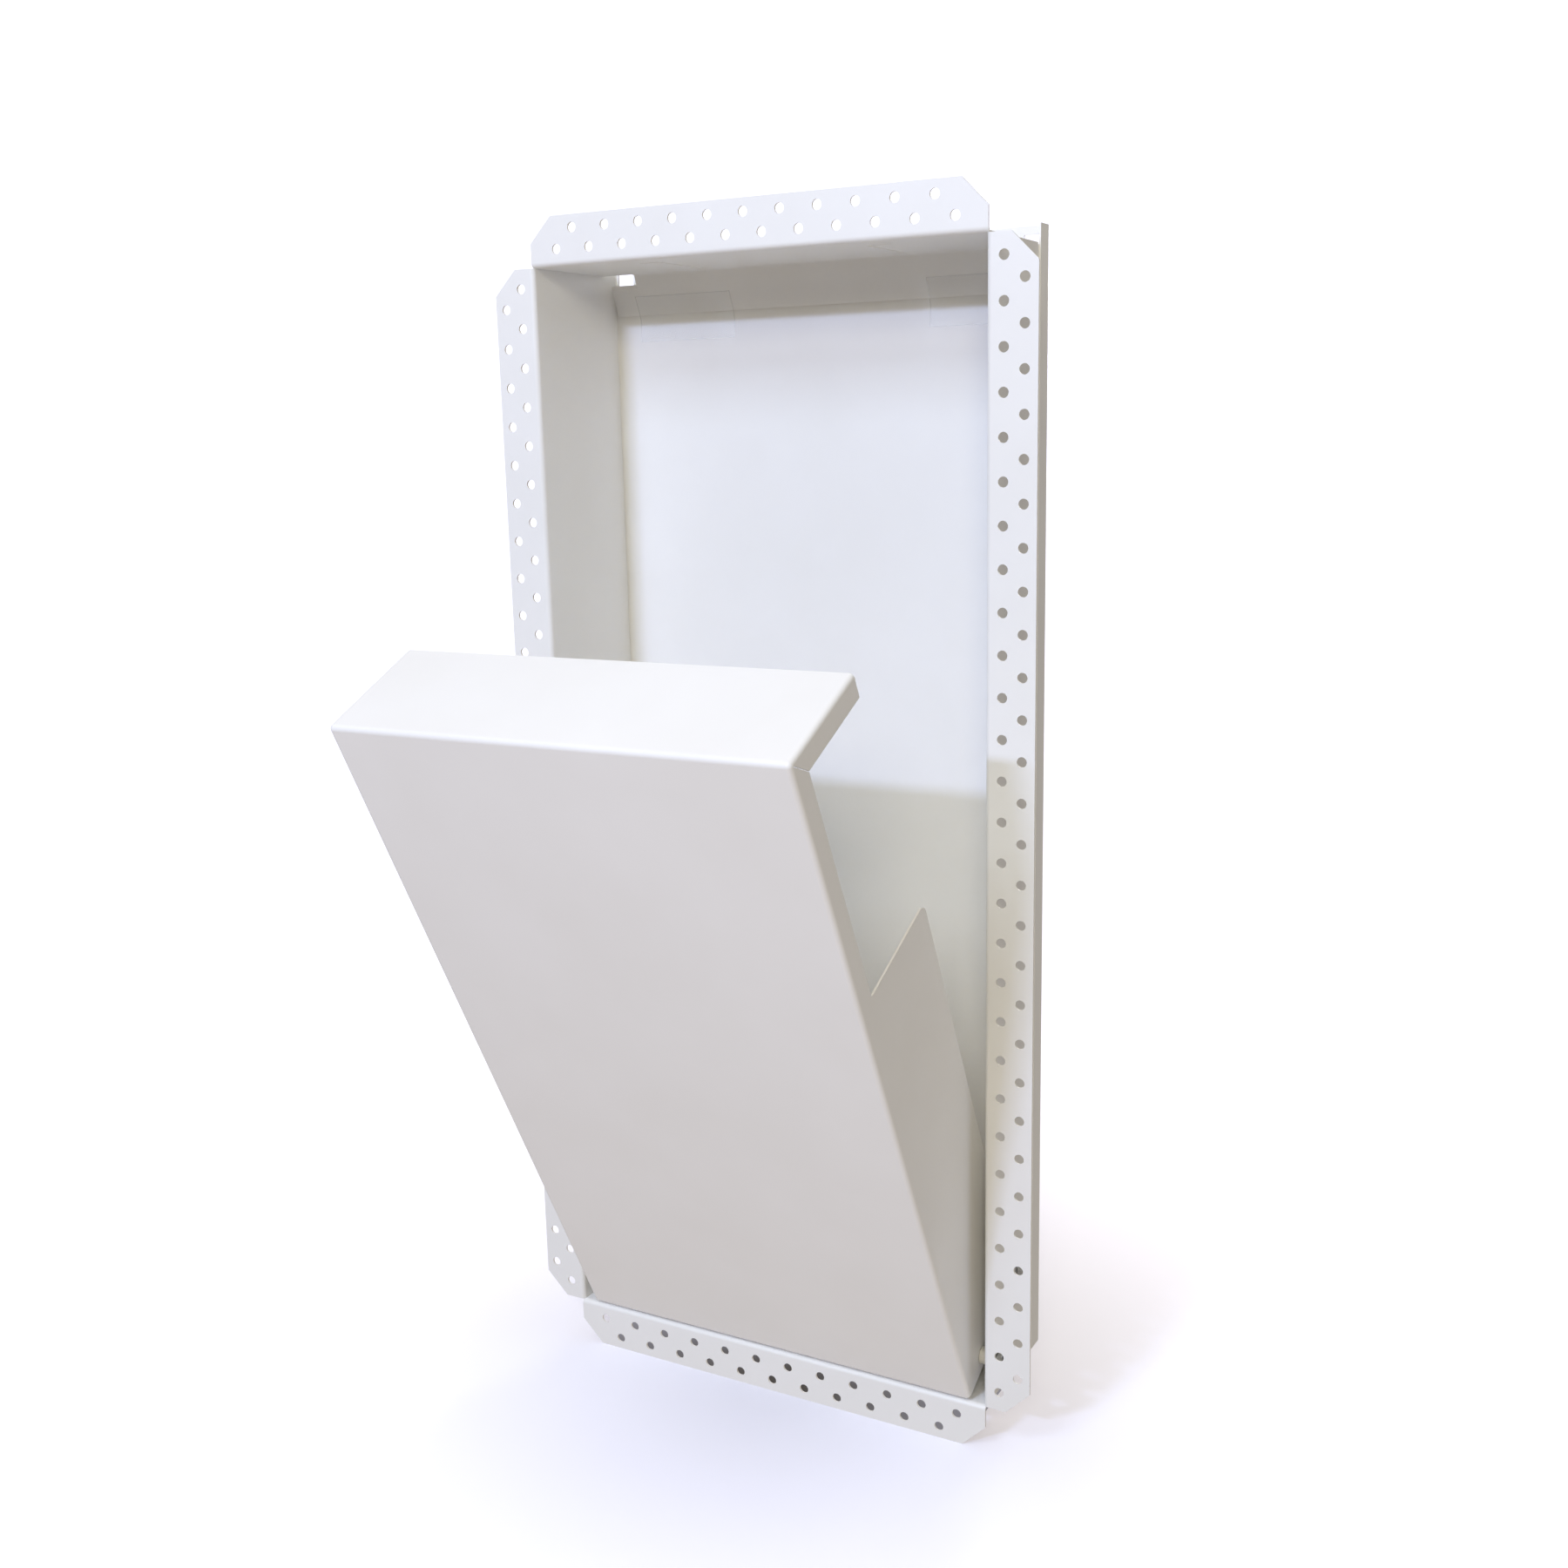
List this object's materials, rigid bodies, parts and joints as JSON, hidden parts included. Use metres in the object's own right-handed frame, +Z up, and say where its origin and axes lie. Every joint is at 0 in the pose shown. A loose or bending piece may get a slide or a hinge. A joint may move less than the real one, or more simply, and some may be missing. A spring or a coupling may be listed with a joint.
{
  "type": "tilt-out wall niche",
  "caption": "Recessed sheet-steel wall niche with perforated plaster flanges and a tall hopper in its lower part that tips forward about a hinge near its bottom edge.",
  "frame": {"origin": "centre of the opening, on the plane where the flanges rest against the wall", "axes": "+X to the right seen from the room, +Y into the wall, +Z up"},
  "size_m": [0.3, 0.2584, 0.63],
  "materials": {
    "housing_coating": "satin white powder coating on sheet steel",
    "hopper_coating": "satin white powder coating on sheet steel",
    "clear_film": "clear adhesive film",
    "nylon": "natural white turned nylon",
    "rubber": "black rubber sleeve",
    "zinc_steel": "bright zinc-plated steel"
  },
  "bodies": {
    "housing": {"back_tray": "housing_coating", "left_side_profile": "housing_coating", "right_side_profile": "housing_coating", "top_profile": "housing_coating", "bottom_profile": "housing_coating", "left_film_patch": "clear_film", "right_film_patch": "clear_film", "left_pivot_screw": "zinc_steel", "right_pivot_screw": "zinc_steel", "left_pivot_spacer": "nylon", "right_pivot_spacer": "nylon", "left_stop_screw": "zinc_steel", "right_stop_screw": "zinc_steel", "left_stop_sleeve": "rubber", "right_stop_sleeve": "rubber", "screw_washers": "zinc_steel", "screw_nuts": "zinc_steel"},
    "hopper": {"hopper_shell": "hopper_coating", "hopper_floor_pan": "hopper_coating", "left_pivot_bush": "nylon", "right_pivot_bush": "nylon"}
  },
  "joints": [
    {"name": "hopper_tilt", "type": "hinge", "parent": "housing", "child": "hopper", "pos_m": [0, 0.015, -0.271], "axis": [1, 0, 0], "range_deg": [-26.2, 0]}
  ]
}
